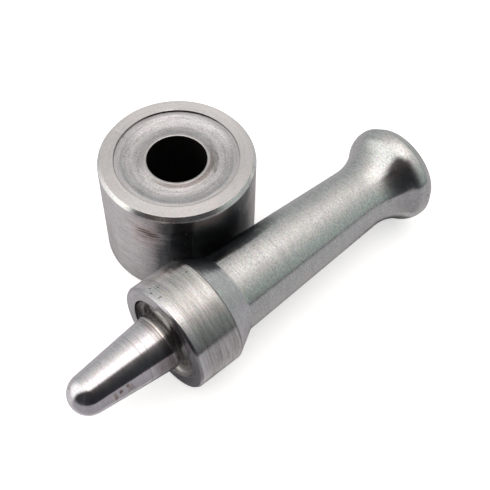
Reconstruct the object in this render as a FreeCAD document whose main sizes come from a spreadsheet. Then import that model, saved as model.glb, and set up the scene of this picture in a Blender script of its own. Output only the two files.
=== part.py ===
# Hand setting tool for sheet-metal grommets: a turned die block that stands upright, and the
# setting punch that belongs to it, lying on the bench beside the block.
# Millimetres, +Z up. The origin is on the die's axis, in the plane of its base.
import FreeCAD
import Part
import Sketcher
import math
import os

document = FreeCAD.newDocument("GrommetSettingTool")

# ---------------------------------------------------------------- driving dimensions
sheet = document.addObject("Spreadsheet::Sheet", "Sizes")
drivingSizes = [
    # die block
    ("dieDiameter", 33.4),
    ("dieHeight", 25.4),
    ("dieBore", 12.7),
    ("rimBevelWidth", 0.7),
    ("rimBevelDrop", 1.05),
    ("baseBevel", 0.4),
    ("recessDiameter", 26.4),
    ("recessDepth", 0.4),
    ("troughDiameter", 24.1),
    ("troughRadius", 5.4),
    ("lipDiameter", 14.2),
    ("lipDrop", 0.62),
    # setting punch, measured along its own axis from the tip of the pilot
    ("pilotTipRadius", 4.3),
    ("pilotRootDiameter", 12.06),
    ("pilotRootAt", 21.05),
    ("pilotLength", 22.4),
    ("curlRadius", 1.5),
    ("curlCentreDiameter", 15.2),
    ("collarDiameter", 23.8),
    ("collarLength", 10.45),
    ("collarFaceDiameter", 23.2),
    ("collarBevelLength", 0.8),
    ("shoulderLength", 5.35),
    ("gripDiameter", 17.75),
    ("gripTaper", 2.5),
    ("neckRadius", 12.7),
    ("crownRadius", 4.85),
    ("headDiameter", 22.3),
    ("headWidestAt", 88.25),
    ("headRimAt", 88.8),
    ("headEndDiameter", 19.9),
    ("punchLength", 90.7),
    # the chamfer that breaks the punch's turned corners, and how far a cutting section starts
    # clear of the metal
    ("brokenEdge", 0.25),
    ("cutterClearance", 1.0),
    # how the punch lies: its heading in plan, how far its axis passes from the die's axis,
    # and how far up from the pilot's tip that nearest point is
    ("restHeading", 43.0),
    ("restOffset", 25.7),
    ("restNearestAt", 47.8),
]
for row, (alias, value) in enumerate(drivingSizes, start=1):
    sheet.set("A%d" % row, alias)
    sheet.set("B%d" % row, str(value))
    sheet.setAlias("B%d" % row, alias)
document.recompute()


def size(alias):
    """The plain number that the sheet holds for this alias."""
    return float(sheet.get(alias))


# ---------------------------------------------------------------- sketch helpers
ACROSS_AXIS = -1
TURNING_AXIS = -2
START = 1
END = 2
CENTRE = 3
SAME_POINT = 0.02


def half_section(body, name):
    """An empty sketch in the body's own XZ plane: radius across, the turning axis up."""
    sketch = body.newObject("Sketcher::SketchObject", name)
    plane = next(item for item in body.Origin.OriginFeatures if item.Role == "XZ_Plane")
    sketch.AttachmentSupport = (plane, [""])
    sketch.MapMode = "FlatFace"
    return sketch


def segment(sketch, start, end):
    line = Part.LineSegment(FreeCAD.Vector(*start, 0), FreeCAD.Vector(*end, 0))
    return sketch.addGeometry(line, False)


def segments(sketch, corners):
    """Straight edges from corner to corner, and back to the first."""
    return [segment(sketch, a, b) for a, b in zip(corners, corners[1:] + corners[:1])]


def arc(sketch, centre, radius, first, last):
    """An arc drawn anticlockwise from the first to the last angle, in radians."""
    circle = Part.Circle(FreeCAD.Vector(*centre, 0), FreeCAD.Vector(0, 0, 1), radius)
    return sketch.addGeometry(Part.ArcOfCircle(circle, first, last), False)


def close(sketch, edges, backwards=(), flowing=()):
    """Joins the edges end to start, all the way round. An edge in backwards was drawn against
    the way round. An edge in flowing runs on into the next one with no corner."""
    for first, second in zip(edges, edges[1:] + edges[:1]):
        leaving = START if first in backwards else END
        entering = END if second in backwards else START
        kind = "Tangent" if first in flowing else "Coincident"
        sketch.addConstraint(Sketcher.Constraint(kind, first, leaving, second, entering))


def level(sketch, *edges):
    for edge in edges:
        sketch.addConstraint(Sketcher.Constraint("Horizontal", edge))


def upright(sketch, *edges):
    for edge in edges:
        sketch.addConstraint(Sketcher.Constraint("Vertical", edge))


def on_line(sketch, edge, end, axis):
    sketch.addConstraint(Sketcher.Constraint("PointOnObject", edge, end, axis))


def bind(sketch, constraint, name, expression):
    """Adds a named constraint and ties its value to the sheet."""
    index = sketch.addConstraint(constraint)
    sketch.renameConstraint(index, name)
    sketch.setExpression("Constraints.%s" % name, expression)


def place(sketch, edge, end, name, radius=None, height=None):
    """Fixes one end of an edge: its distance from the turning axis and its height."""
    drawn = sketch.getPoint(edge, end)
    if radius:
        across = Sketcher.Constraint("DistanceX", ACROSS_AXIS, START, edge, end, drawn.x)
        bind(sketch, across, name + "Radius", radius)
    if height:
        up = Sketcher.Constraint("DistanceY", ACROSS_AXIS, START, edge, end, drawn.y)
        bind(sketch, up, name + "Height", height)


def set_radius(sketch, curve, name, drawn, expression):
    bind(sketch, Sketcher.Constraint("Radius", curve, drawn), name, expression)


def turned(body, kind, name, sketch):
    """Turns a half-section through a full circle, as a Revolution or as a Groove."""
    feature = body.newObject("PartDesign::" + kind, name)
    feature.Profile = sketch
    feature.ReferenceAxis = (sketch, ["V_Axis"])
    feature.Angle = 360
    return feature


def edge_names(base, rings):
    """The circular edges of the base feature that lie at these (radius, height) pairs."""
    names = []
    for number, edge in enumerate(base.Shape.Edges, start=1):
        if edge.Degenerated or not isinstance(edge.Curve, Part.Circle):
            continue
        ring = (edge.Curve.Radius, edge.Curve.Center.z)
        if any(math.dist(ring, wanted) < SAME_POINT for wanted in rings):
            names.append("Edge%d" % number)
    if len(names) != len(rings):
        raise RuntimeError("%s has %d edges for %d rings" % (base.Label, len(names), len(rings)))
    return names


def chamfered(body, name, base, rings, expression):
    """Breaks these edges with a chamfer whose size is tied to the sheet."""
    feature = body.newObject("PartDesign::Chamfer", name)
    feature.Base = (base, edge_names(base, rings))
    feature.setExpression("Size", expression)
    return feature


# ---------------------------------------------------------------- die block
def die_block():
    """A short steel cylinder with a through bore. Its top is dished: a ground rim, a step down
    to a narrow ledge, a hollow trough that carries the grommet's flange, and a low lip round
    the bore."""
    body = document.addObject("PartDesign::Body", "DieBlock")
    body.Label = "die_block"
    wide, tall = size("dieDiameter") / 2, size("dieHeight")
    bevelWidth, bevelDrop, baseBevel = size("rimBevelWidth"), size("rimBevelDrop"), size("baseBevel")
    over = size("cutterClearance")

    # the turned blank: base, its bevel, the wall, the rim's bevel and the flat top
    blank = half_section(body, "BlankSection")
    corners = [
        (0, 0), (wide - baseBevel, 0), (wide, baseBevel),
        (wide, tall - bevelDrop), (wide - bevelWidth, tall), (0, tall),
    ]
    edges = segments(blank, corners)
    close(blank, edges)
    base, _, wall, _, top, _ = edges
    blank.addConstraint(Sketcher.Constraint("Coincident", base, START, ACROSS_AXIS, START))
    on_line(blank, base, END, ACROSS_AXIS)
    on_line(blank, top, END, TURNING_AXIS)
    level(blank, top)
    place(blank, base, END, "base", "Sizes.dieDiameter / 2 - Sizes.baseBevel")
    place(blank, wall, START, "wall", "Sizes.dieDiameter / 2", "Sizes.baseBevel")
    place(blank, wall, END, "wallTop", "Sizes.dieDiameter / 2", "Sizes.dieHeight - Sizes.rimBevelDrop")
    place(blank, top, START, "rim", "Sizes.dieDiameter / 2 - Sizes.rimBevelWidth", "Sizes.dieHeight")
    turned(body, "Revolution", "Blank", blank)

    # The dish: all above this line of step, ledge, trough and lip is turned away. The trough's
    # arc stands on the chord from the ledge's inner edge to the lip's outer edge.
    dish = half_section(body, "DishSection")
    recess, trough, lip = (size(n) / 2 for n in ("recessDiameter", "troughDiameter", "lipDiameter"))
    ledgeAt, lipAt = tall - size("recessDepth"), tall - size("lipDrop")
    sweepRadius, halfChord = size("troughRadius"), (trough - lip) / 2
    rise = math.sqrt(sweepRadius ** 2 - halfChord ** 2)
    middle = ((trough + lip) / 2, (ledgeAt + lipAt) / 2 + rise)
    swing = math.asin(halfChord / sweepRadius)
    bottom = -math.pi / 2
    step = segment(dish, (recess, tall + over), (recess, ledgeAt))
    ledge = segment(dish, (recess, ledgeAt), (trough, ledgeAt))
    hollow = arc(dish, middle, sweepRadius, bottom - swing, bottom + swing)
    land = segment(dish, (lip, lipAt), (0, lipAt))
    inside = segment(dish, (0, lipAt), (0, tall + over))
    above = segment(dish, (0, tall + over), (recess, tall + over))
    close(dish, [step, ledge, hollow, land, inside, above], backwards=[hollow])
    upright(dish, step, inside)
    level(dish, land, above)
    on_line(dish, inside, START, TURNING_AXIS)
    place(dish, step, START, "above", height="Sizes.dieHeight + Sizes.cutterClearance")
    place(dish, ledge, START, "step", "Sizes.recessDiameter / 2", "Sizes.dieHeight - Sizes.recessDepth")
    place(dish, ledge, END, "ledge", "Sizes.troughDiameter / 2", "Sizes.dieHeight - Sizes.recessDepth")
    place(dish, land, START, "lip", "Sizes.lipDiameter / 2", "Sizes.dieHeight - Sizes.lipDrop")
    set_radius(dish, hollow, "trough", sweepRadius, "Sizes.troughRadius")
    turned(body, "Groove", "Dish", dish)

    # the bore, right through
    bore = half_section(body, "BoreSection")
    across = size("dieBore") / 2
    edges = segments(bore, [(0, -over), (across, -over), (across, tall + over), (0, tall + over)])
    close(bore, edges)
    below, side, roof, spine = edges
    level(bore, below, roof)
    on_line(bore, below, START, TURNING_AXIS)
    on_line(bore, spine, START, TURNING_AXIS)
    place(bore, side, START, "bore", "Sizes.dieBore / 2", "-Sizes.cutterClearance")
    place(bore, side, END, "top", "Sizes.dieBore / 2", "Sizes.dieHeight + Sizes.cutterClearance")
    turned(body, "Groove", "Bore", bore)
    return body


# ---------------------------------------------------------------- setting punch
def neck_arc(grip, gripAt, lean, headCentre):
    """The neck's arc touches the grip's leaning line and the head's arc. So its centre is one
    neck radius out from the line, and one neck radius plus one crown radius from the centre of
    the head's arc. Returns that centre and the point where the arc leaves the line."""
    neck, crown = size("neckRadius"), size("crownRadius")
    reachX, reachY = headCentre[0] - grip, headCentre[1] - gripAt
    outward = reachX * math.cos(lean) + reachY * math.sin(lean)
    along = reachY * math.cos(lean) - reachX * math.sin(lean)
    along -= math.sqrt((neck + crown) ** 2 - (neck - outward) ** 2)
    touch = (grip - along * math.sin(lean), gripAt + along * math.cos(lean))
    centre = (touch[0] + neck * math.cos(lean), touch[1] + neck * math.sin(lean))
    return centre, touch


def setting_punch():
    """One turned bar: round-nosed tapering pilot, collar with the annular curling groove in its
    face, sloping shoulder, tapering grip, and a flared head to strike."""
    body = document.addObject("PartDesign::Body", "SettingPunch")
    body.Label = "setting_punch"
    faceAt, length = size("pilotLength"), size("punchLength")
    collarEnd = faceAt + size("collarLength")
    gripAt = collarEnd + size("shoulderLength")
    tip, root, rootAt = size("pilotTipRadius"), size("pilotRootDiameter") / 2, size("pilotRootAt")
    curl, curlAt = size("curlRadius"), size("curlCentreDiameter") / 2
    collar, face = size("collarDiameter") / 2, size("collarFaceDiameter") / 2
    grip, lean = size("gripDiameter") / 2, math.radians(size("gripTaper"))
    neck, crown, end = size("neckRadius"), size("crownRadius"), size("headEndDiameter") / 2

    # where the nose runs into the pilot, and where the neck meets the head
    noseEnd = math.atan2(rootAt - tip, root) - math.acos(tip / math.hypot(root, rootAt - tip))
    headCentre = (size("headDiameter") / 2 - crown, size("headWidestAt"))
    neckCentre, touch = neck_arc(grip, gripAt, lean, headCentre)
    turn = math.atan2(headCentre[1] - neckCentre[1], headCentre[0] - neckCentre[0])
    rimAngle = math.asin((size("headRimAt") - headCentre[1]) / crown)
    rim = (headCentre[0] + crown * math.cos(rimAngle), size("headRimAt"))
    bevelEnd = faceAt + size("collarBevelLength")

    # The pilot stops short of the face and a boss carries on from there: the curling groove,
    # cut next, turns the boss down to the pilot's root and leaves a fine ridge at its end.
    bar = half_section(body, "BarSection")
    nose = arc(bar, (0, tip), tip, -math.pi / 2, noseEnd)
    pilot = segment(bar, (tip, tip), (root, rootAt))
    ridge = segment(bar, (root, rootAt), (curlAt, rootAt))
    boss = segment(bar, (curlAt, rootAt), (curlAt, faceAt))
    front = segment(bar, (curlAt, faceAt), (face, faceAt))
    bevel = segment(bar, (face, faceAt), (collar, bevelEnd))
    band = segment(bar, (collar, bevelEnd), (collar, collarEnd))
    shoulder = segment(bar, (collar, collarEnd), (grip, gripAt))
    handle = segment(bar, (grip, gripAt), touch)
    waist = arc(bar, neckCentre, neck, turn, math.pi + lean)
    flare = arc(bar, headCentre, crown, turn - math.pi, rimAngle)
    edge = segment(bar, rim, (end, length))
    struck = segment(bar, (end, length), (0, length))
    spine = segment(bar, (0, length), (0, 0))
    way = [nose, pilot, ridge, boss, front, bevel, band, shoulder, handle, waist, flare, edge,
           struck, spine]
    close(bar, way, backwards=[waist], flowing=[nose, handle, waist])

    bar.addConstraint(Sketcher.Constraint("Coincident", nose, START, ACROSS_AXIS, START))
    on_line(bar, nose, CENTRE, TURNING_AXIS)
    on_line(bar, spine, START, TURNING_AXIS)
    level(bar, struck)
    set_radius(bar, nose, "nose", tip, "Sizes.pilotTipRadius")
    set_radius(bar, waist, "neck", neck, "Sizes.neckRadius")
    set_radius(bar, flare, "crown", crown, "Sizes.crownRadius")
    place(bar, pilot, END, "root", "Sizes.pilotRootDiameter / 2", "Sizes.pilotRootAt")
    place(bar, ridge, END, "boss", "Sizes.curlCentreDiameter / 2", "Sizes.pilotRootAt")
    place(bar, front, START, "bossFoot", "Sizes.curlCentreDiameter / 2", "Sizes.pilotLength")
    place(bar, front, END, "face", "Sizes.collarFaceDiameter / 2", "Sizes.pilotLength")
    place(bar, band, START, "band", "Sizes.collarDiameter / 2",
          "Sizes.pilotLength + Sizes.collarBevelLength")
    place(bar, band, END, "collar", "Sizes.collarDiameter / 2",
          "Sizes.pilotLength + Sizes.collarLength")
    place(bar, shoulder, END, "grip", "Sizes.gripDiameter / 2",
          "Sizes.pilotLength + Sizes.collarLength + Sizes.shoulderLength")
    bind(bar, Sketcher.Constraint("Angle", TURNING_AXIS, handle, lean), "lean",
         "Sizes.gripTaper * 1 deg")
    place(bar, flare, CENTRE, "crownCentre", "Sizes.headDiameter / 2 - Sizes.crownRadius",
          "Sizes.headWidestAt")
    place(bar, flare, END, "rim", height="Sizes.headRimAt")
    place(bar, struck, START, "end", "Sizes.headEndDiameter / 2", "Sizes.punchLength")
    turned(body, "Revolution", "Bar", bar)

    # the curling groove: a round-ended form tool as wide as the groove, sunk into the collar's
    # face round the pilot until its nose is half way in
    tool = half_section(body, "CurlSection")
    clear = rootAt - size("cutterClearance")
    inner, outer = curlAt - curl, curlAt + curl
    nose = arc(tool, (curlAt, faceAt), curl, 0, math.pi)
    rootSide = segment(tool, (inner, faceAt), (inner, clear))
    back = segment(tool, (inner, clear), (outer, clear))
    wallSide = segment(tool, (outer, clear), (outer, faceAt))
    close(tool, [nose, rootSide, back, wallSide], flowing=[nose, wallSide])
    level(tool, back)
    set_radius(tool, nose, "curl", curl, "Sizes.curlRadius")
    place(tool, nose, CENTRE, "curlCentre", "Sizes.curlCentreDiameter / 2", "Sizes.pilotLength")
    place(tool, rootSide, END, "clear", height="Sizes.pilotRootAt - Sizes.cutterClearance")
    curled = turned(body, "Groove", "CurlingGroove", tool)
    document.recompute()

    corners = [(collar, collarEnd), (grip, gripAt), rim]
    chamfered(body, "BrokenCorners", curled, corners, "Sizes.brokenEdge")
    body.Placement = resting_place(collar, collarEnd)
    return body


def resting_place(collar, collarEnd):
    """The punch lies on the collar's back edge and on the widest circle of its head. The line
    under both leans by the difference of their radii over the distance between them, and the
    axis leans with it. The axis passes the die at the rest offset."""
    headReach = size("headDiameter") / 2
    sag = math.atan((collar - headReach) / (size("headWidestAt") - collarEnd))
    heading = math.radians(size("restHeading"))
    ahead = FreeCAD.Vector(math.cos(heading), math.sin(heading), 0)
    aside = FreeCAD.Vector(math.sin(heading), -math.cos(heading), 0)
    axis = ahead * math.cos(sag) - FreeCAD.Vector(0, 0, math.sin(sag))
    tip = aside * size("restOffset") - ahead * size("restNearestAt") * math.cos(sag)
    tip.z = collar * math.cos(sag) + collarEnd * math.sin(sag)
    return FreeCAD.Placement(tip, FreeCAD.Rotation(FreeCAD.Vector(0, 0, 1), axis))


# ---------------------------------------------------------------- build, check and write
subParts = [die_block(), setting_punch()]
document.recompute()

for item in document.Objects:
    if "Invalid" in item.State or "Error" in item.State:
        raise RuntimeError("%s failed to recompute: %s" % (item.Name, item.State))
    if item.isDerivedFrom("Sketcher::SketchObject") and item.solve() != 0:
        raise RuntimeError("%s does not solve" % item.Name)
for part in subParts:
    shape = part.Shape
    if shape.isNull() or not shape.isValid() or len(shape.Solids) != 1:
        raise RuntimeError("%s is not one valid solid" % part.Label)
    # every cut has to have taken metal away
    features = [item for item in part.Group if item.isDerivedFrom("PartDesign::Feature")]
    for before, after in zip(features, features[1:]):
        if after.Shape.Volume >= before.Shape.Volume:
            raise RuntimeError("%s removes nothing" % after.Name)

os.makedirs("parts", exist_ok=True)
for part in subParts:
    part.Shape.exportStep("parts/%s.step" % part.Label)
    bounds = part.Shape.optimalBoundingBox(False)
    print("%s: %.2f cm3, x %.2f to %.2f, y %.2f to %.2f, z %.3f to %.2f" % (
        part.Label, part.Shape.Volume / 1000, bounds.XMin, bounds.XMax,
        bounds.YMin, bounds.YMax, bounds.ZMin, bounds.ZMax))
gap = subParts[0].Shape.distToShape(subParts[1].Shape)[0]
print("gap between the pieces: %.2f mm" % gap)
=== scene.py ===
import math
import bpy
import numpy as np
from mathutils import Matrix, Vector


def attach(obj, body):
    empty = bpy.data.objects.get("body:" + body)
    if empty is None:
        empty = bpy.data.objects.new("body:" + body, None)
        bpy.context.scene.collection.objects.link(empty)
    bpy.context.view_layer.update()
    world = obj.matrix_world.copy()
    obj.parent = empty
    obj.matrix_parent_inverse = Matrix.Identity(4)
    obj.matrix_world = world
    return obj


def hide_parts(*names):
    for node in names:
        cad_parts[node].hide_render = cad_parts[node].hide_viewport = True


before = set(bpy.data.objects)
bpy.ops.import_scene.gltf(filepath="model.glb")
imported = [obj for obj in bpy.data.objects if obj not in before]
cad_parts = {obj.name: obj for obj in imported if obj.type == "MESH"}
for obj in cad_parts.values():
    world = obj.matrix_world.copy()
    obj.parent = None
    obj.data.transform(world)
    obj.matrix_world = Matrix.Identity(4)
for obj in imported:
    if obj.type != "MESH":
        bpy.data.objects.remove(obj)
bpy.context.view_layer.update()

# A hand grommet setting tool in bare turned steel: the die block stands upright and the
# setting punch lies in front of it. Metres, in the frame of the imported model; the outlines,
# marks and finishes are given in millimetres.
mm = 0.001
print("frame loaded:", len(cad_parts), "nodes")


def straight(start, end):
    # both ends of a straight run of a section
    return np.array([start, end], float)


def arcRun(centre, radius, first, last, count=60):
    # centre + radius * (cos, sin) of an angle that goes evenly from first to last
    angle = np.linspace(first, last, count)
    return np.array(centre) + radius * np.stack([np.cos(angle), np.sin(angle)], 1)


def wornOutline(runs, rows, spacing=0.02, averaged=11, straightStep=0.9, bendStep=0.09):
    # Runs of (finish, points, radius of the corner at the run's end) become one outline of
    # (radius, height). Each point is the mean of the outline over a stretch either side of it
    # as long as the corner radius there, which rounds every corner. The rows then stand at
    # even steps of length / straightStep + turning / bendStep, so that they crowd where the
    # outline bends.
    joined = np.concatenate([runs[0][1][:1]] + [points[1:] for _, points, _ in runs])
    steps = np.hypot(*np.diff(joined, axis=0).T)
    along = np.concatenate([[0], np.cumsum(steps)])
    ends = along[np.cumsum([len(points) - 1 for _, points, _ in runs])]
    s = np.linspace(0, along[-1], int(along[-1] / spacing))
    corner = np.interp(s, np.concatenate([[0], ends]), [0] + [radius for _, _, radius in runs])
    reach = np.linspace(-1, 1, averaged)[:, None] * corner
    radius, height = (np.interp(s + reach, along, c).mean(0) for c in joined.T)
    angle = np.unwrap(np.arctan2(np.gradient(height), np.gradient(radius)))
    crowd = np.cumsum(spacing / straightStep + np.abs(np.gradient(angle)) / bendStep)
    row = np.interp(np.linspace(crowd[0], crowd[-1], rows), crowd, s)
    finish = np.searchsorted(ends, (row[1:] + row[:-1]) / 2)
    return np.interp(row, s, radius), np.interp(row, s, height), row, finish


def turnedSurface(name, outline, columns, ring, place, nicks=()):
    # point(row, column) = radius(row) * (cos, sin) of the column's angle, at height(row), set
    # back along the normal by each nick's depth * exp(-(distance / size)^2). A ring's last row
    # is its first one; any other outline starts and ends in a single point on the axis.
    radius, height, s, finish = outline
    rows = len(s)
    turn = np.linspace(0, 2 * np.pi, columns, endpoint=False)
    slopeR, slopeZ = np.gradient(radius, s), np.gradient(height, s)
    slant = np.hypot(slopeR, slopeZ)
    sunk = np.zeros((rows, columns))
    for angle, at, depth, size in nicks:
        swing = (turn - math.radians(angle) + np.pi) % (2 * np.pi) - np.pi
        away = ((s[:, None] - at) ** 2 + (radius[:, None] * swing) ** 2) / size ** 2
        sunk += depth * np.exp(-away)
    across = radius[:, None] - sunk * (slopeZ / slant)[:, None]
    up = height[:, None] + sunk * (slopeR / slant)[:, None]
    points = np.stack([across * np.cos(turn), across * np.sin(turn), up], 2) * mm
    lathe = np.stack(np.broadcast_arrays(np.cos(turn), np.sin(turn), s[:, None]), 2)

    index = np.arange(rows * columns).reshape(rows, columns)
    if ring:
        index[-1] = index[0]
    else:
        points[[0, -1], 0, :2], lathe[[0, -1], 0, :2] = 0, 0
        index[[0, -1]] = index[[0, -1], :1]
    beside = np.roll(index, -1, axis=1)
    quads = np.stack([index[:-1], beside[:-1], beside[1:], index[1:]], 2)
    u = np.broadcast_to(s[:, None] / s[-1], (rows, columns))
    v = np.arange(columns) / columns + np.zeros((rows, 1))
    vNext = v + 1 / columns
    uv = np.stack([np.stack([u[:-1], v[:-1]], 2), np.stack([u[:-1], vNext[:-1]], 2),
                   np.stack([u[1:], vNext[1:]], 2), np.stack([u[1:], v[1:]], 2)], 2)
    used, quads = np.unique(quads, return_inverse=True)
    quads = quads.reshape(rows - 1, columns, 4)
    if ring:
        faces, corners = quads.reshape(-1, 4).tolist(), uv.reshape(-1, 2)
    else:
        faces = quads[0, :, 1:].tolist() + quads[1:-1].reshape(-1, 4).tolist() \
            + quads[-1, :, :3].tolist()
        corners = np.concatenate([uv[0, :, 1:].reshape(-1, 2), uv[1:-1].reshape(-1, 2),
                                  uv[-1, :, :3].reshape(-1, 2)])
    mesh = bpy.data.meshes.new(name)
    mesh.from_pydata(points.reshape(-1, 3)[used], [], faces)
    mesh.transform(place)
    around = mesh.attributes.new("lathe", "FLOAT_VECTOR", "POINT")
    around.data.foreach_set("vector", lathe.reshape(-1, 3)[used].astype(np.float32).ravel())
    layer = mesh.uv_layers.new(name="Turned")
    layer.data.foreach_set("uv", corners.astype(np.float32).ravel())
    mesh.polygons.foreach_set("material_index", np.repeat(finish, columns).astype(np.int32))
    mesh.polygons.foreach_set("use_smooth", np.ones(len(mesh.polygons), bool))
    piece = bpy.data.objects.new(name, mesh)
    bpy.context.scene.collection.objects.link(piece)
    return piece


# Die block
dieShape = {
    "diameter": 33.4, "height": 25.4, "bore": 12.7, "baseBevel": 0.4,
    "rimBevelWidth": 0.7, "rimBevelDrop": 1.05,
    "recess": 26.4, "recessDepth": 0.4, "trough": 24.1, "troughRadius": 5.4,
    "lip": 14.2, "lipDrop": 0.62, "fineCorner": 0.09, "columns": 384, "rows": 250,
    # nicks in the rim: angle, place along the outline, depth, size
    "nicks": ((153.2, 49.9, 0.12, 0.35), (154.1, 51.5, 0.1, 0.3), (101, 51.2, 0.1, 0.25)),
}


def dieRuns():
    # Half of the die's section, from the middle of the bore down, out along the base, up the
    # wall and back in over the bevel, rim, step and dish to the lip. The dish is hollowed by
    # an arc whose centre stands sqrt(radius^2 - half its width^2) above its middle.
    d = dieShape
    wide, tall, bore = d["diameter"] / 2, d["height"], d["bore"] / 2
    recess, trough, lip = d["recess"] / 2, d["trough"] / 2, d["lip"] / 2
    ledge, land, fine = tall - d["recessDepth"], tall - d["lipDrop"], d["fineCorner"]
    middle = np.array([(trough + lip) / 2, (ledge + land) / 2])
    half = (trough - lip) / 2
    centre = middle + [0, math.sqrt(d["troughRadius"] ** 2 - half ** 2)]
    swing = math.asin(half / d["troughRadius"])
    down = -math.pi / 2
    hollow = arcRun(centre, d["troughRadius"], down + swing, down - swing)
    # both ends of the arc are drawn to the points that they join
    share = np.linspace(0, 1, len(hollow))[:, None]
    hollow += share * (np.array([lip, land]) - hollow[-1]) \
        + share[::-1] * (np.array([trough, ledge]) - hollow[0])
    bevel = (wide, tall - d["rimBevelDrop"])
    rim = (wide - d["rimBevelWidth"], tall)
    return [
        ("bore", straight((bore, tall / 2), (bore, 0)), 0.12),
        ("base", straight((bore, 0), (wide - d["baseBevel"], 0)), fine),
        ("wall", straight((wide - d["baseBevel"], 0), (wide, d["baseBevel"])), fine),
        ("wall", straight((wide, d["baseBevel"]), bevel), 0.3),
        ("bevel", straight(bevel, rim), 0.04),
        ("rim", straight(rim, (recess, tall)), 0.04),
        ("step", straight((recess, tall), (recess, ledge)), 0.04),
        ("dish", straight((recess, ledge), (trough, ledge)), 0.35),
        ("dish", hollow, 0.7),
        ("lip", straight((lip, land), (bore, land)), 0.3),
        ("bore", straight((bore, land), (bore, tall / 2)), 0),
    ]


# Setting punch
punchShape = {
    "tipRadius": 4.3, "rootDiameter": 12.06, "rootAt": 21.05, "faceAt": 22.4,
    "curlRadius": 1.5, "curlCentre": 15.2,
    "collar": 23.8, "collarLength": 10.45, "face": 23.2, "bevelLength": 0.5, "band": 2.15,
    "shoulder": 5.35, "grip": 17.75, "taper": 2.5, "neck": 12.7, "crown": 4.85,
    "head": 22.3, "headWidest": 88.25, "headRim": 88.8, "headEnd": 19.9, "length": 90.7,
    "heading": 43.0, "offset": 25.7, "nearest": 47.8, "columns": 330, "rows": 300,
}


def punchRuns():
    # Half of the punch's section, from the tip to the struck end: a ball's arc that runs into
    # the tapering pilot, the groove's half circle, the collar, shoulder and leaning grip, and
    # the neck's hollow arc that touches both the grip and the head's round one.
    p = punchShape
    tip, root, rootAt, face = p["tipRadius"], p["rootDiameter"] / 2, p["rootAt"], p["faceAt"]
    noseEnd = math.atan2(rootAt - tip, root) - math.acos(tip / math.hypot(root, rootAt - tip))
    noseTop = (tip * math.cos(noseEnd), tip + tip * math.sin(noseEnd))
    curl, bottom = p["curlRadius"], p["curlCentre"] / 2
    inner, outer = bottom - curl, bottom + curl
    collar, collarEnd = p["collar"] / 2, face + p["collarLength"]
    faceEdge = (p["face"] / 2, face)
    bevelEnd, bandEnd = (collar, face + p["bevelLength"]), (collar, face + p["band"])
    grip, gripAt = p["grip"] / 2, collarEnd + p["shoulder"]
    lean, neck, crown = math.radians(p["taper"]), p["neck"], p["crown"]
    aside, ahead = (np.array([math.cos(lean), math.sin(lean)]),
                    np.array([-math.sin(lean), math.cos(lean)]))
    head = np.array([p["head"] / 2 - crown, p["headWidest"]])
    toHead = head - [grip, gripAt]
    along = toHead @ ahead - math.sqrt((neck + crown) ** 2 - (neck - toHead @ aside) ** 2)
    touch = np.array([grip, gripAt]) + along * ahead
    neckCentre = touch + neck * aside
    turn = math.atan2(*(head - neckCentre)[::-1])
    rimAngle = math.asin((p["headRim"] - head[1]) / crown)
    rim = head + crown * np.array([math.cos(rimAngle), math.sin(rimAngle)])
    end, length = p["headEnd"] / 2, p["length"]
    waist = arcRun(neckCentre, neck, math.pi + lean, turn)
    flare = arcRun(head, crown, turn - math.pi, rimAngle)
    return [
        ("pilot", arcRun((0, tip), tip, -math.pi / 2, noseEnd), 0.05),
        ("pilot", straight(noseTop, (root, rootAt)), 0.03),
        ("groove", straight((root, rootAt), (inner, rootAt)), 0.03),
        ("groove", straight((inner, rootAt), (inner, face)), 0.05),
        ("groove", arcRun((bottom, face), curl, math.pi, 0), 0.06),
        ("face", straight((outer, face), faceEdge), 0.06),
        ("face", straight(faceEdge, bevelEnd), 0.1),
        ("band", straight(bevelEnd, bandEnd), 0.02),
        ("collar", straight(bandEnd, (collar, collarEnd)), 0.3),
        ("shoulder", straight((collar, collarEnd), (grip, gripAt)), 0.3),
        ("grip", straight((grip, gripAt), touch), 0.05),
        ("grip", waist, 0.05),
        ("grip", flare, 0.25),
        ("end", straight(rim, (end, length)), 0.12),
        ("end", straight((end, length), (0, length)), 0),
    ]


def punchPlace():
    # It lies on its collar's back edge and on the widest circle of its head, so its axis leans
    # by the difference of their radii over the distance between them.
    p = punchShape
    collar, collarEnd = p["collar"] / 2, p["faceAt"] + p["collarLength"]
    sag = math.atan((collar - p["head"] / 2) / (p["headWidest"] - collarEnd))
    heading = math.radians(p["heading"])
    ahead = Vector((math.cos(heading), math.sin(heading), 0))
    aside = Vector((math.sin(heading), -math.cos(heading), 0))
    axis = ahead * math.cos(sag) - Vector((0, 0, math.sin(sag)))
    tip = aside * p["offset"] - ahead * p["nearest"] * math.cos(sag)
    tip.z = collar * math.cos(sag) + collarEnd * math.sin(sag)
    up = axis.cross(aside)
    turned = Matrix((aside, up, axis)).transposed().to_4x4()
    return Matrix.Translation(tip * mm) @ turned


dieOutline = wornOutline(dieRuns(), dieShape["rows"])
dieSurface = turnedSurface("dieSurface", dieOutline, dieShape["columns"], True,
                           Matrix.Identity(4), dieShape["nicks"])
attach(dieSurface, "die")
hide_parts("die_block")
punchOutline = wornOutline(punchRuns(), punchShape["rows"])
punchSurface = turnedSurface("punchSurface", punchOutline, punchShape["columns"], False,
                             punchPlace())
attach(punchSurface, "punch")
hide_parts("setting_punch")
for piece in (dieSurface, punchSurface):
    print("turned", piece.name, len(piece.data.polygons), "faces")


# Node helpers
def addNode(tree, kind, inputs=(), **settings):
    # One node with its settings, and each input linked from a socket or set to a value
    node = tree.nodes.new(kind)
    for key, value in settings.items():
        setattr(node, key, value)
    for key, value in dict(inputs).items():
        if isinstance(value, bpy.types.NodeSocket):
            tree.links.new(value, node.inputs[key])
        else:
            node.inputs[key].default_value = value
    return node


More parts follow.
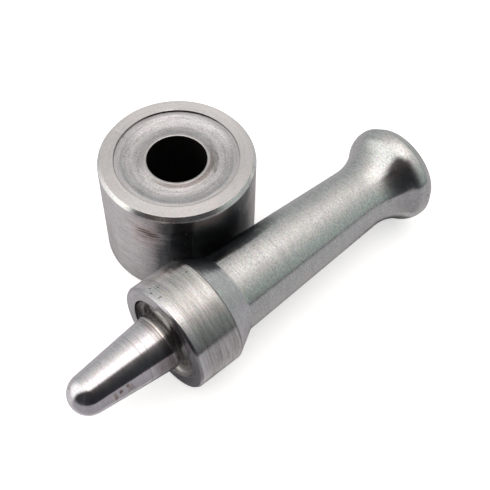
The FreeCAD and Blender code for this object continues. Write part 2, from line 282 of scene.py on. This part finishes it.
def calc(tree, operation, first, second=0.0, third=0.0):
    # one sum on sockets or numbers
    inputs = {0: first, 1: second, 2: third}
    return addNode(tree, "ShaderNodeMath", inputs, operation=operation).outputs[0]


def combine(tree, operation, first, second):
    # the same for vectors and colours
    inputs = {0: first, 1: second}
    return addNode(tree, "ShaderNodeVectorMath", inputs, operation=operation).outputs[0]


def between(tree, value, low, high):
    # 0 below low, 1 above high, and a smooth step from one to the other
    inputs = {"Value": value, "From Min": low, "From Max": high}
    node = addNode(tree, "ShaderNodeMapRange", inputs, interpolation_type="SMOOTHSTEP")
    return node.outputs["Result"]


def mixColour(tree, share, first, second):
    # first * (1 - share) + second * share
    node = addNode(tree, "ShaderNodeMix", data_type="RGBA", clamp_factor=True)
    for index, value in ((0, share), (6, first), (7, second)):
        if isinstance(value, bpy.types.NodeSocket):
            tree.links.new(value, node.inputs[index])
        else:
            node.inputs[index].default_value = value if index == 0 else (*value[:3], 1)
    return node.outputs[2]


def newGroup(name, inputs, outputs):
    # A shader node group; a colour has four numbers as its value, and anything else one
    tree = bpy.data.node_groups.new(name, "ShaderNodeTree")
    for side, sockets in (("INPUT", inputs), ("OUTPUT", outputs)):
        for key, value in sockets.items():
            kind = "NodeSocketColor" if isinstance(value, tuple) else "NodeSocketFloat"
            socket = tree.interface.new_socket(name=key, in_out=side, socket_type=kind)
            socket.default_value = value
    given = addNode(tree, "NodeGroupInput").outputs
    return tree, given, addNode(tree, "NodeGroupOutput").inputs


def lathePlace(tree):
    # cosine and sine of the turn round the axis, and millimetres along the outline
    place = addNode(tree, "ShaderNodeAttribute", attribute_name="lathe").outputs["Vector"]
    return addNode(tree, "ShaderNodeSeparateXYZ", {0: place}).outputs


# What turning, handling and wear leave on the steel: the grain's size in millimetres, how
# fine the marks and rings are, how fine clouds and tint are against the grain, the pits (cells
# in a millimetre, least radius and how much more it may be in cell widths, colour, depth
# against the marks, cover), how far clouds and marks change the roughness, the raggedness of
# the patches of dirt, wear and painted light round the turn and along, and the bump's depth in
# millimetres
wearShape = {
    "grainSize": 0.25, "marks": 0.7, "rings": 0.6, "ringStretch": (0.12, 0.12, 0.8),
    "clouds": 0.08, "tint": 0.35, "darkest": 0.1,
    "pitCells": 0.9, "pitRadius": 0.12, "pitSpread": 0.16, "pitColour": (0.09, 0.08, 0.08),
    "pitDepth": 4.0, "pitCover": 0.75, "cloudyRoughness": 0.08, "streakyRoughness": 0.05,
    "patchTurns": 5.0, "patchLengths": 2.2, "bumpDepth": 0.005,
}


def turnedGrain():
    # Tool marks run round the axis: noise stretched along the turn, fine along the outline.
    # Handling adds a grain, a tint and wider clouds that have no direction.
    w = wearShape
    tree, given, result = newGroup(
        "Turned grain", {"Spacing": 0.35, "Streaks": 6.0, "Grain size": w["grainSize"]},
        {"Marks": 0.5, "Rings": 0.5, "Grain": 0.5, "Clouds": 0.5, "Tint": (0.5, 0.5, 0.5, 1)})
    cosine, sine, along = lathePlace(tree)
    stretched = addNode(tree, "ShaderNodeCombineXYZ", {
        0: calc(tree, "MULTIPLY", cosine, given["Streaks"]),
        1: calc(tree, "MULTIPLY", sine, given["Streaks"]),
        2: calc(tree, "DIVIDE", along, given["Spacing"])}).outputs[0]
    rough = {"Vector": stretched, "Scale": w["marks"], "Detail": 2.0, "Roughness": 0.6}
    tree.links.new(addNode(tree, "ShaderNodeTexNoise", rough).outputs["Fac"], result["Marks"])
    slow = combine(tree, "MULTIPLY", stretched, w["ringStretch"])
    rings = {"Vector": slow, "Scale": w["rings"], "Detail": 2.0, "Roughness": 0.55}
    tree.links.new(addNode(tree, "ShaderNodeTexNoise", rings).outputs["Fac"], result["Rings"])
    place = addNode(tree, "ShaderNodeTexCoord").outputs["Object"]
    fine = calc(tree, "DIVIDE", 1 / mm, given["Grain size"])
    grain = {"Vector": place, "Scale": fine, "Detail": 1.0, "Roughness": 0.6}
    tree.links.new(addNode(tree, "ShaderNodeTexNoise", grain).outputs["Fac"], result["Grain"])
    for key, output in (("Clouds", "Fac"), ("Tint", "Color")):
        wide = calc(tree, "MULTIPLY", fine, w[key.lower()])
        noise = addNode(tree, "ShaderNodeTexNoise", {"Vector": place, "Scale": wide, "Detail": 3.0})
        tree.links.new(noise.outputs[output], result[key])
    return tree


def wornSteel(grain):
    # The steel's colour is its tone times 1 + each pattern's distance from its middle times
    # its strength. The marks are cut below the surface and the pits below them.
    w = wearShape
    tree, given, result = newGroup(
        "Worn steel",
        {"Tone": (0.6, 0.6, 0.6, 1), "Roughness": 0.3, "Spacing": 0.35, "Streaks": 6.0,
         "Marks": 0.5, "Rings": 0.2, "Grain": 0.5, "Clouds": 0.3, "Tint": 0.1, "Pits": 0.01},
        {"Color": (0.6, 0.6, 0.6, 1), "Roughness": 0.3, "Height": 0.5})
    shared = {"Spacing": given["Spacing"], "Streaks": given["Streaks"]}
    pattern = addNode(tree, "ShaderNodeGroup", shared, node_tree=grain).outputs
    shade = 1.0
    for key in ("Marks", "Rings", "Grain", "Clouds"):
        centred = calc(tree, "SUBTRACT", pattern[key], 0.5)
        shade = calc(tree, "MULTIPLY_ADD", centred, given[key], shade)
    shade = calc(tree, "MAXIMUM", shade, w["darkest"])
    hue = combine(tree, "SUBTRACT", pattern["Tint"], (0.5, 0.5, 0.5))
    scale = addNode(tree, "ShaderNodeCombineXYZ", {k: given["Tint"] for k in range(3)}).outputs[0]
    hue = combine(tree, "ADD", combine(tree, "MULTIPLY", hue, scale), (1, 1, 1))
    grey = addNode(tree, "ShaderNodeCombineXYZ", {k: shade for k in range(3)}).outputs[0]
    colour = combine(tree, "MULTIPLY", combine(tree, "MULTIPLY", given["Tone"], hue), grey)
    place = addNode(tree, "ShaderNodeTexCoord").outputs["Object"]
    # a pit fills the middle of a few cells
    cell = addNode(tree, "ShaderNodeTexVoronoi", {"Vector": place, "Scale": w["pitCells"] / mm})
    chosen = addNode(tree, "ShaderNodeSeparateColor", {0: cell.outputs["Color"]}).outputs
    near = calc(tree, "MULTIPLY_ADD", chosen[1], w["pitSpread"], w["pitRadius"])
    hole = calc(tree, "SUBTRACT", 1.0, between(tree, cell.outputs["Distance"],
                                               calc(tree, "MULTIPLY", near, 0.5), near))
    pit = calc(tree, "MULTIPLY", hole, calc(tree, "LESS_THAN", chosen[0], given["Pits"]))
    cover = calc(tree, "MULTIPLY", pit, w["pitCover"])
    tree.links.new(mixColour(tree, cover, colour, w["pitColour"]), result["Color"])
    changed = given["Roughness"]
    for key, much in (("Clouds", w["cloudyRoughness"]), ("Marks", w["streakyRoughness"])):
        centred = calc(tree, "SUBTRACT", pattern[key], 0.5)
        changed = calc(tree, "ADD", changed, calc(tree, "MULTIPLY", centred, much))
    tree.links.new(changed, result["Roughness"])
    height = calc(tree, "MULTIPLY_ADD", pit, -w["pitDepth"], pattern["Marks"])
    tree.links.new(height, result["Height"])
    return tree


def stainOrLightPatch():
    # A patch centred on an angle and a place along the outline. Its edge is where
    # (turn / half turn)^4 + (length / half length)^4 is 1, ragged by streaky noise. Inside,
    # the steel's colour is multiplied by the patch's colour; that paints dirt, rust and wear, and
    # also painted shade and painted highlights.
    w = wearShape
    tree, given, result = newGroup(
        "Mark or painted light patch",
        {"Color": (0.6, 0.6, 0.6, 1), "Mark or light": (0.1, 0.08, 0.07, 1), "Angle": 0.0,
         "Along": 10.0, "Half turn": 10.0, "Half length": 1.0, "Edge": 0.5, "Ragged": 0.8,
         "Strength": 0.5},
        {"Color": (0.6, 0.6, 0.6, 1)})
    cosine, sine, along = lathePlace(tree)
    angle = calc(tree, "RADIANS", given["Angle"])
    dot = calc(tree, "MULTIPLY_ADD", sine, calc(tree, "SINE", angle),
               calc(tree, "MULTIPLY", cosine, calc(tree, "COSINE", angle)))
    away = calc(tree, "DEGREES", calc(tree, "ARCCOSINE", calc(tree, "MINIMUM", dot, 1.0)))
    across = calc(tree, "DIVIDE", away, given["Half turn"])
    lengthwise = calc(tree, "SUBTRACT", along, given["Along"])
    lengthwise = calc(tree, "DIVIDE", calc(tree, "ABSOLUTE", lengthwise), given["Half length"])
    far = calc(tree, "ADD", calc(tree, "POWER", across, 4.0), calc(tree, "POWER", lengthwise, 4.0))
    streaks = addNode(tree, "ShaderNodeCombineXYZ", {
        0: calc(tree, "MULTIPLY", cosine, w["patchTurns"]),
        1: calc(tree, "MULTIPLY", sine, w["patchTurns"]),
        2: calc(tree, "MULTIPLY", along, w["patchLengths"])}).outputs[0]
    noise = addNode(tree, "ShaderNodeTexNoise", {"Vector": streaks, "Scale": 1.0, "Detail": 4.0})
    broken = calc(tree, "SUBTRACT", noise.outputs["Fac"], 0.5)
    edge = calc(tree, "MULTIPLY_ADD", broken, given["Ragged"], calc(tree, "POWER", far, 0.25))
    inside = between(tree, edge, calc(tree, "SUBTRACT", 1.0, given["Edge"]),
                     calc(tree, "ADD", 1.0, given["Edge"]))
    mask = calc(tree, "MULTIPLY", calc(tree, "SUBTRACT", 1.0, inside), given["Strength"])
    markedOrShaded = combine(tree, "MULTIPLY", given["Color"], given["Mark or light"])
    tree.links.new(mixColour(tree, mask, given["Color"], markedOrShaded), result["Color"])
    return tree


steelGroup = wornSteel(turnedGrain())
stainOrLightGroup = stainOrLightPatch()

# Each finish: tone, roughness, how much rougher it is across the tool marks than along them,
# spacing of the marks (mm), streaks round the turn, then the strength of marks, rings, grain,
# clouds and tint, and the share of cells with a pit
finishNames = ("tone", "roughness", "anisotropy", "spacing", "streaks", "marks", "rings",
               "grain", "clouds", "tint", "pits")
finishes = {
    # the bore's near-black tone is painted shade down the deep hole
    "bore": ((0.05, 0.047, 0.045), 0.5, 0.0, 0.4, 3, 0.5, 0.3, 0.3, 0.4, 0.1, 0.01),
    "base": ((0.5, 0.5, 0.5), 0.4, 0.0, 0.4, 4, 0.5, 0.3, 0.3, 0.4, 0.1, 0.01),
    "wall": ((0.62, 0.605, 0.61), 0.22, 0.9, 0.25, 7, 0.9, 0.3, 1.0, 0.25, 0.22, 0.012),
    "bevel": ((0.88, 0.87, 0.865), 0.26, 0.6, 0.4, 5, 0.4, 0.3, 0.8, 0.4, 0.16, 0.02),
    "rim": ((0.70, 0.68, 0.68), 0.36, 0.9, 0.4, 6, 0.25, 0.15, 0.4, 0.12, 0.12, 0.012),
    "step": ((0.3, 0.28, 0.28), 0.5, 0.0, 0.4, 3, 0.3, 0.3, 0.3, 0.5, 0.1, 0.0),
    "dish": ((0.56, 0.55, 0.56), 0.30, 0.85, 0.4, 3, 0.7, 0.45, 1.1, 0.3, 0.14, 0.01),
    "lip": ((0.53, 0.52, 0.52), 0.26, 0.6, 0.35, 5, 0.6, 0.3, 0.6, 0.4, 0.12, 0.01),
    "pilot": ((0.74, 0.72, 0.75), 0.18, 0.85, 0.3, 4, 0.3, 0.2, 0.5, 0.15, 0.18, 0.006),
    "groove": ((0.42, 0.41, 0.40), 0.22, 0.7, 0.25, 3, 2.0, 1.0, 0.8, 0.5, 0.16, 0.01),
    "face": ((0.47, 0.46, 0.48), 0.25, 0.6, 0.3, 4, 0.8, 0.4, 0.6, 0.4, 0.16, 0.01),
    "band": ((0.72, 0.715, 0.72), 0.2, 0.9, 0.5, 3, 0.5, 0.3, 0.6, 0.2, 0.2, 0.01),
    "collar": ((0.58, 0.57, 0.56), 0.24, 0.88, 0.35, 3, 1.1, 0.6, 0.7, 0.2, 0.22, 0.015),
    "shoulder": ((0.68, 0.67, 0.69), 0.3, 0.7, 0.25, 9, 0.6, 0.2, 0.9, 0.15, 0.22, 0.006),
    "grip": ((0.63, 0.635, 0.63), 0.2, 0.92, 0.2, 20, 0.9, 0.3, 0.6, 0.15, 0.2, 0.008),
    "end": ((0.65, 0.64, 0.635), 0.34, 0.4, 0.4, 5, 0.6, 0.3, 0.7, 0.5, 0.16, 0.02),
}
# Patches on a finish: what they multiply its colour by, angle, place along the outline, half
# turn, half length, softness of the edge, raggedness, strength. Angles and half turns are in
# degrees, lengths in millimetres. Among them are rust, nicks, rings, scratches, smudges and
# dirt, and painted shade and painted highlights, which are named where they stand. Many more
# are dark or bright lines and patches at an edge, step, groove, face or root, which just
# darken or lighten that part.
allRound = 400
paintedFacingShade = (0.31, 0.33, 0.345)  # painted shade: darkens the sides that the die and the punch turn to each other, in place of their dark reflections of each other
stainAndLightPatches = {
    "wall": (
        # painted shade in the first three: the side turned to the punch and two dark patches near
        # the top of the wall
        (paintedFacingShade, -62, 28, 41, 16, 0.12, 0.3, 1.0),
        ((0.40, 0.40, 0.41), -88, 46, 13, 3.5, 0.25, 0.3, 1.0),
        ((0.46, 0.46, 0.48), -37, 46, 13, 3.5, 0.35, 0.3, 1.0),
        ((0.62, 0.42, 0.30), -66, 45.9, 22, 1.0, 0.5, 1.2, 0.5),
        ((1.0, 0.92, 0.90), -110, 42, 12, 6, 0.5, 0.6, 0.8),
        ((0.78, 0.69, 0.65), -107, 42.2, 9, 1.5, 0.5, 2.0, 0.6),
        ((0.14, 0.1, 0.08), -111, 43.2, 5, 0.2, 0.5, 1.6, 0.75),
        ((0.14, 0.1, 0.08), -107, 42.6, 7, 0.24, 0.5, 1.8, 0.85),
        ((0.14, 0.1, 0.08), -104, 41.9, 6, 0.2, 0.5, 1.8, 0.8),
        ((0.25, 0.19, 0.17), -108, 40.9, 6, 0.14, 0.5, 1.8, 0.6),
        ((4.5, 4.5, 4.5), -80.5, 43.4, 0.7, 0.28, 0.5, 1.0, 1.0),
        ((4.5, 4.5, 4.5), -36.2, 43.7, 0.6, 0.3, 0.5, 1.0, 1.0),
        ((3.0, 3.0, 3.0), -81.7, 39.8, 0.6, 0.22, 0.5, 1.0, 1.0),
    ),
    "bevel": (((1.05, 0.90, 0.82), -96, 47.8, 12, 1.0, 0.4, 0.8, 0.9),),
    "rim": (
        ((0.42, 0.42, 0.44), -115, 51.2, 100, 0.1, 0.4, 0.6, 0.9),
        # painted highlight: a bright glint on the rim beside the nick at 101 degrees
        ((1.4, 1.4, 1.4), 101, 51.1, 3.5, 0.2, 0.5, 0.5, 1.0),
    ),
    "step": (((0.2, 0.17, 0.17), 90, 51.4, 36, 0.6, 0.3, 0.2, 1.0),),
    "dish": (
        ((0.14, 0.1, 0.1), 90, 51.6, 38, 0.14, 0.4, 0.3, 0.8),
        ((0.5, 0.48, 0.48), 0, 51.6, allRound, 0.12, 0.4, 0.3, 0.7),
        ((0.45, 0.44, 0.43), 2, 56.7, 26, 0.5, 0.25, 3.6, 0.6),
        ((0.54, 0.495, 0.475), -50, 57.6, 78, 0.5, 0.35, 0.5, 1.0),
    ),
    "pilot": (
        ((0.6, 0.58, 0.56), 0, 23.4, allRound, 1.4, 0.5, 0.5, 1.0),
        ((0.52, 0.48, 0.46), -5, 21.4, 34, 2.0, 0.5, 0.6, 0.9),
        ((0.45, 0.42, 0.4), 0, 23.1, allRound, 0.06, 0.5, 0.3, 0.8),
        ((1.9, 1.82, 1.7), -88, 23.4, 46, 0.13, 0.5, 0.2, 1.0),
        ((0.6, 0.57, 0.55), 0, 22.5, allRound, 0.06, 0.5, 0.8, 0.7),
        ((0.7, 0.66, 0.64), 0, 21.8, allRound, 0.05, 0.5, 0.8, 0.7),
        ((0.5, 0.4, 0.3), -12, 9.95, 13, 0.3, 0.5, 2.0, 0.8),
        ((0.3, 0.2, 0.13), -19, 11.2, 5, 0.35, 0.5, 2.0, 0.85),
        ((0.4, 0.29, 0.2), -24, 12.65, 4, 0.35, 0.5, 2.0, 0.8),
        ((0.74, 0.66, 0.6), -13, 13.3, 9, 0.7, 0.5, 2.0, 0.8),
        ((0.55, 0.53, 0.53), 0, 17.95, allRound, 0.07, 0.5, 0.8, 0.8),
        ((0.6, 0.56, 0.52), -80, 19.45, 24, 0.07, 0.5, 1.5, 0.8),
    ),
    "groove": (((0.55, 0.54, 0.53), 0, 27.2, allRound, 1.9, 0.6, 0.8, 1.0),),
    "face": (
        ((0.45, 0.42, 0.40), -78, 30.9, 13, 1.2, 0.4, 0.5, 0.9),
        ((0.4, 0.37, 0.36), -74, 31.9, 14, 0.35, 0.4, 0.5, 0.9),
    ),
    "band": (
        ((0.12, 0.12, 0.12), -108.8, 33.1, 1.1, 0.17, 0.5, 0.5, 0.9),
        ((0.25, 0.25, 0.25), -98.5, 33.6, 1.0, 0.4, 0.5, 1.5, 0.7),
        ((0.72, 0.7, 0.69), 0, 34.5, allRound, 0.12, 0.5, 0.4, 0.9),
    ),
    "collar": (
        # painted shade on the side turned to the die
        (paintedFacingShade, -165, 48.3, 52, 10, 0.12, 0.3, 1.0),
        ((0.12, 0.12, 0.12), -110.5, 35.0, 1.1, 0.17, 0.5, 0.5, 0.9),
        ((0.12, 0.12, 0.12), -105.3, 41.3, 1.1, 0.17, 0.5, 0.5, 0.9),
        ((0.25, 0.25, 0.25), -60, 42.76, 62, 0.12, 0.4, 0.4, 0.8),
    ),
    "shoulder": (
        ((0.2, 0.2, 0.2), -60, 42.75, 62, 0.14, 0.4, 0.3, 0.8),
        # painted shade on the side turned to the die
        (paintedFacingShade, -165, 40, 71, 30, 0.1, 0.3, 1.0),
    ),
    "grip": (
        # painted shade on the side turned to the die
        (paintedFacingShade, -165, 50, 60, 17.5, 0.25, 0.3, 1.0),
        ((0.72, 0.72, 0.72), -60, 57.6, 30, 0.1, 0.5, 1.2, 0.8),
        ((0.78, 0.78, 0.78), -60, 61.2, 34, 0.08, 0.5, 1.4, 0.7),
    ),
}


def makeSteel(name):
    # One finish: the worn steel with its own numbers, then its patches of dirt, wear, painted shade
    # and painted highlights one after another
    look = dict(zip(finishNames, finishes[name]))
    steel = bpy.data.materials.new(name)
    steel.use_nodes = True
    tree = steel.node_tree
    bsdf = tree.nodes["Principled BSDF"]
    bsdf.inputs["Metallic"].default_value = 1
    bsdf.inputs["Anisotropic"].default_value = look["anisotropy"]
    tangent = addNode(tree, "ShaderNodeTangent", direction_type="UV_MAP", uv_map="Turned")
    tree.links.new(tangent.outputs[0], bsdf.inputs["Tangent"])
    values = {key.capitalize(): look[key] for key in finishNames if key != "anisotropy"}
    values["Tone"] = (*look["tone"], 1)
    worn = addNode(tree, "ShaderNodeGroup", values, node_tree=steelGroup)
    colour = worn.outputs["Color"]
    for multiplier, angle, along, turn, length, edge, ragged, strength in stainAndLightPatches.get(name, ()):
        patch = addNode(tree, "ShaderNodeGroup", {
            "Color": colour, "Mark or light": (*multiplier, 1), "Angle": angle, "Along": along,
            "Half turn": turn, "Half length": length, "Edge": edge, "Ragged": ragged,
            "Strength": strength}, node_tree=stainOrLightGroup)
        colour = patch.outputs["Color"]
    tree.links.new(colour, bsdf.inputs["Base Color"])
    tree.links.new(worn.outputs["Roughness"], bsdf.inputs["Roughness"])
    bump = addNode(tree, "ShaderNodeBump", {"Height": worn.outputs["Height"], "Strength": 1.0,
                                            "Distance": wearShape["bumpDepth"] * mm})
    tree.links.new(bump.outputs[0], bsdf.inputs["Normal"])
    return steel


for piece, runs in ((dieSurface, dieRuns()), (punchSurface, punchRuns())):
    for finish, _, _ in runs:
        piece.data.materials.append(bpy.data.materials.get(finish) or makeSteel(finish))
print("steels:", len(finishes), "finishes")

# Camera: place in millimetres, pitch below level and roll in radians, focal length as a
# multiple of the sensor's width
cameraSetting = {
    "place": (14.71, -132.14, 178.45), "pitch": 0.948216, "roll": 0.0250736, "focal": 1.97096,
    "sensor": 36,
}


def makeCamera():
    # looks along (0, cos, -sin) of the pitch, and rolls about that line
    c = cameraSetting
    pitch, roll = c["pitch"], c["roll"]
    ahead = Vector((0, math.cos(pitch), -math.sin(pitch)))
    over = Vector((0, math.sin(pitch), math.cos(pitch)))
    right = Vector((1, 0, 0)) * math.cos(roll) + over * math.sin(roll)
    up = over * math.cos(roll) - Vector((1, 0, 0)) * math.sin(roll)
    data = bpy.data.cameras.new("camera")
    data.sensor_width = c["sensor"]
    data.lens = c["focal"] * data.sensor_width
    camera = bpy.data.objects.new("camera", data)
    turned = Matrix((right, up, -ahead)).transposed().to_4x4()
    camera.matrix_world = Matrix.Translation(Vector(c["place"]) * mm) @ turned
    bpy.context.scene.collection.objects.link(camera)
    bpy.context.scene.camera = camera


makeCamera()

# Studio: a bright ceiling and window wall, a low dark horizon, a pale floor. Azimuths are in
# degrees, 0 along +Y and 90 along +X; heights are the sine of the elevation. The floor and
# the background are white to the camera. To other rays the floor is duller and darkens where
# it meets the pieces, and the background has the tones.
studio = {
    "strength": 1.7,
    "tones": ((0.0, (0.262, 0.27, 0.267)), (0.26, (0.292, 0.30, 0.296)),
              (0.5, (0.345, 0.345, 0.337)), (0.72, (0.455, 0.44, 0.424)),
              (0.87, (0.62, 0.59, 0.57)), (0.93, (0.83, 0.785, 0.755)),
              (1.0, (1.05, 1.0, 0.965))),
    "windowAzimuth": -101, "window": (0.80, 0.795, 0.765), "windowEdge": (0.6, 0.95),
    "windowHeight": (-0.9, 0.3),
    "greenAzimuth": 90, "green": (0.92, 1.0, 0.955), "greenEdge": (0.0, 0.8),
    "greenHeight": (0.35, 0.75),
    "horizon": (0.12, 0.12, 0.125), "horizonSpan": (-0.12, -0.08, 0.01, 0.035),
    "horizonAzimuth": 110, "horizonEdge": (0.2, 0.6),
    "floorHalf": 0.28, "floor": (0.50, 0.49, 0.53), "gloss": 0.22, "glossRoughness": 0.15,
    "shadeReach": 0.018, "shade": (0.12, 0.74),
    "seenFloor": (0.9, 0.9, 0.9), "seenGlow": 0.5,
}


def facing(tree, x, y, azimuth):
    # length of the part of a direction that lies along an azimuth in plan
    a = math.radians(azimuth)
    return calc(tree, "MULTIPLY_ADD", x, math.sin(a), calc(tree, "MULTIPLY", y, math.cos(a)))


def makeWorld():
    # tones by height, then the window wall, the green side and the dark horizon over them
    s = studio
    world = bpy.data.worlds.new("studio")
    bpy.context.scene.world = world
    world.use_nodes = True
    tree = world.node_tree
    direction = addNode(tree, "ShaderNodeTexCoord").outputs["Generated"]
    x, y, z = addNode(tree, "ShaderNodeSeparateXYZ", {0: direction}).outputs
    level = calc(tree, "MULTIPLY_ADD", x, x, calc(tree, "MULTIPLY", y, y))
    flat = calc(tree, "MAXIMUM", calc(tree, "SQRT", level), 0.001)
    ramp = addNode(tree, "ShaderNodeValToRGB", {"Fac": z})
    elements = ramp.color_ramp.elements
    for index, (place, colour) in enumerate(s["tones"]):
        stop = elements[index] if index < 2 else elements.new(place)
        stop.position = place
        stop.color = (*colour, 1)
    window = calc(tree, "DIVIDE", facing(tree, x, y, s["windowAzimuth"]), flat)
    window = calc(tree, "MULTIPLY", between(tree, window, *s["windowEdge"]),
                  between(tree, z, *s["windowHeight"]))
    lit = mixColour(tree, window, ramp.outputs["Color"], s["window"])
    green = calc(tree, "DIVIDE", facing(tree, x, y, s["greenAzimuth"]), flat)
    green = calc(tree, "MULTIPLY", between(tree, green, *s["greenEdge"]),
                 calc(tree, "SUBTRACT", 1.0, between(tree, z, *s["greenHeight"])))
    lit = mixColour(tree, green, lit, combine(tree, "MULTIPLY", lit, s["green"]))
    low, rise, fall, high = s["horizonSpan"]
    line = calc(tree, "SUBTRACT", between(tree, z, low, rise), between(tree, z, fall, high))
    side = between(tree, facing(tree, x, y, s["horizonAzimuth"]), *s["horizonEdge"])
    line = calc(tree, "MULTIPLY", line, side)
    lit = mixColour(tree, line, lit, s["horizon"])
    background = tree.nodes["Background"]
    tree.links.new(lit, background.inputs["Color"])
    background.inputs["Strength"].default_value = s["strength"]
    white = addNode(tree, "ShaderNodeBackground", {"Color": (1, 1, 1, 1), "Strength": 1})
    ray = addNode(tree, "ShaderNodeLightPath").outputs
    seen = calc(tree, "MAXIMUM", ray["Is Camera Ray"], ray["Is Transmission Ray"])
    mix = addNode(tree, "ShaderNodeMixShader",
                  {0: seen, 1: background.outputs[0], 2: white.outputs[0]})
    tree.links.new(mix.outputs[0], tree.nodes["World Output"].inputs["Surface"])


def makeFloor():
    # a square sheet of paper, white to the camera
    s = studio
    mesh = bpy.data.meshes.new("floor")
    half = s["floorHalf"]
    corners = [(-half, -half, 0), (half, -half, 0), (half, half, 0), (-half, half, 0)]
    mesh.from_pydata(corners, [], [(0, 1, 2, 3)])
    floor = bpy.data.objects.new("floor", mesh)
    bpy.context.scene.collection.objects.link(floor)
    paper = bpy.data.materials.new("paper")
    paper.use_nodes = True
    tree = paper.node_tree
    corner = addNode(tree, "ShaderNodeAmbientOcclusion", {"Distance": s["shadeReach"]}, samples=4)
    shade = between(tree, corner.outputs["AO"], *s["shade"])
    matt = addNode(tree, "ShaderNodeBsdfDiffuse",
                   {"Color": mixColour(tree, shade, (0, 0, 0), s["floor"])})
    sheen = addNode(tree, "ShaderNodeBsdfGlossy",
                    {"Color": (1, 1, 1, 1), "Roughness": s["glossRoughness"]})
    plain = addNode(tree, "ShaderNodeMixShader",
                    {0: s["gloss"], 1: matt.outputs[0], 2: sheen.outputs[0]})
    bright = addNode(tree, "ShaderNodeBsdfDiffuse", {"Color": (*s["seenFloor"], 1)})
    glow = addNode(tree, "ShaderNodeEmission", {"Color": (1, 1, 1, 1), "Strength": s["seenGlow"]})
    shown = addNode(tree, "ShaderNodeAddShader", {0: bright.outputs[0], 1: glow.outputs[0]})
    ray = addNode(tree, "ShaderNodeLightPath").outputs["Is Camera Ray"]
    mix = addNode(tree, "ShaderNodeMixShader", {0: ray, 1: plain.outputs[0], 2: shown.outputs[0]})
    tree.links.new(mix.outputs[0], tree.nodes["Material Output"].inputs["Surface"])
    mesh.materials.append(paper)


# A dark screen stands round the camera's side, and only reflections see it. Azimuths are in
# degrees and lengths in metres. It fades in over "left" and out from "right", which starts
# earlier and takes longer with each metre of height, and it fades out towards its top, which
# rises over "riseSpan". It turns warmer with height, and the gap is a fainter upright strip.
screenShape = {
    "centre": (0.02, -0.02), "radius": 0.21, "height": 0.86, "columns": 147, "rows": 87,
    "left": (103, 137), "right": 235, "rightLean": 100, "leanFrom": 0.1, "rightFade": (12, 60),
    "margin": 2, "top": (0.40, 0.68), "topRise": 0.16, "riseSpan": (145, 170),
    "foot": 0.03, "footShare": 0.9,
    "low": (0.018, 0.0185, 0.022), "high": (0.024, 0.0165, 0.0175), "warm": (0.14, 0.32),
    "gapAzimuth": 204, "gapWidth": 6, "gapTone": 0.045, "gapTop": (0.1, 0.3),
}


def eased(value, low, high):
    # 0 below low, 1 above high, and a smooth step from one to the other
    t = np.clip((value - low) / (high - low), 0, 1)
    return t * t * (3 - 2 * t)


def makeScreen():
    # point(azimuth, height) = centre + radius * (sin, cos) of the azimuth, at the height
    s = screenShape
    right, fade = s["right"], s["rightFade"]
    azimuth = np.linspace(s["left"][0], right + fade[0] + s["margin"], s["columns"])
    height = np.linspace(0, s["height"], s["rows"])
    azimuth, height = (grid.ravel() for grid in np.meshgrid(azimuth, height))
    turn = np.radians(azimuth)
    points = np.stack([s["centre"][0] + s["radius"] * np.sin(turn),
                       s["centre"][1] + s["radius"] * np.cos(turn), height], 1)
    start = right - s["rightLean"] * np.maximum(height - s["leanFrom"], 0)
    over = start + fade[0] + fade[1] * height
    dark = eased(azimuth, *s["left"]) * (1 - eased(azimuth, start, over))
    rise = s["topRise"] * eased(azimuth, *s["riseSpan"])
    dark *= 1 - eased(height - rise, *s["top"])
    dark *= s["footShare"] + (1 - s["footShare"]) * eased(height, 0, s["foot"])
    warm = eased(height, *s["warm"])[:, None]
    gap = np.exp(-((azimuth - s["gapAzimuth"]) / s["gapWidth"]) ** 2) * s["gapTone"]
    gap = (gap * (1 - eased(height, *s["gapTop"])))[:, None]
    tone = np.array(s["low"]) * (1 - warm) + np.array(s["high"]) * warm + gap
    index = np.arange(len(dark)).reshape(s["rows"], s["columns"])
    faces = np.stack([index[:-1, :-1], index[:-1, 1:], index[1:, 1:], index[1:, :-1]], 2)
    mesh = bpy.data.meshes.new("screen")
    mesh.from_pydata(points, [], faces.reshape(-1, 4).tolist())
    cover = mesh.attributes.new("dark", "FLOAT", "POINT")
    cover.data.foreach_set("value", dark.astype(np.float32))
    hue = mesh.attributes.new("tone", "FLOAT_VECTOR", "POINT")
    hue.data.foreach_set("vector", tone.astype(np.float32).ravel())
    screen = bpy.data.objects.new("screen", mesh)
    bpy.context.scene.collection.objects.link(screen)
    screen.visible_camera = screen.visible_diffuse = screen.visible_shadow = False
    screen.visible_transmission = False
    cloth = bpy.data.materials.new("screenCloth")
    cloth.use_nodes = True
    tree = cloth.node_tree
    share = addNode(tree, "ShaderNodeAttribute", attribute_name="dark").outputs["Fac"]
    clear = addNode(tree, "ShaderNodeBsdfTransparent")
    shade = addNode(tree, "ShaderNodeAttribute", attribute_name="tone").outputs["Color"]
    glow = addNode(tree, "ShaderNodeEmission", {"Color": shade, "Strength": 1.0})
    mix = addNode(tree, "ShaderNodeMixShader", {0: share, 1: clear.outputs[0], 2: glow.outputs[0]})
    tree.links.new(mix.outputs[0], tree.nodes["Material Output"].inputs["Surface"])
    mesh.materials.append(cloth)


makeWorld()
makeFloor()
makeScreen()
bpy.context.scene.view_settings.view_transform = "Standard"
print("camera and studio set")
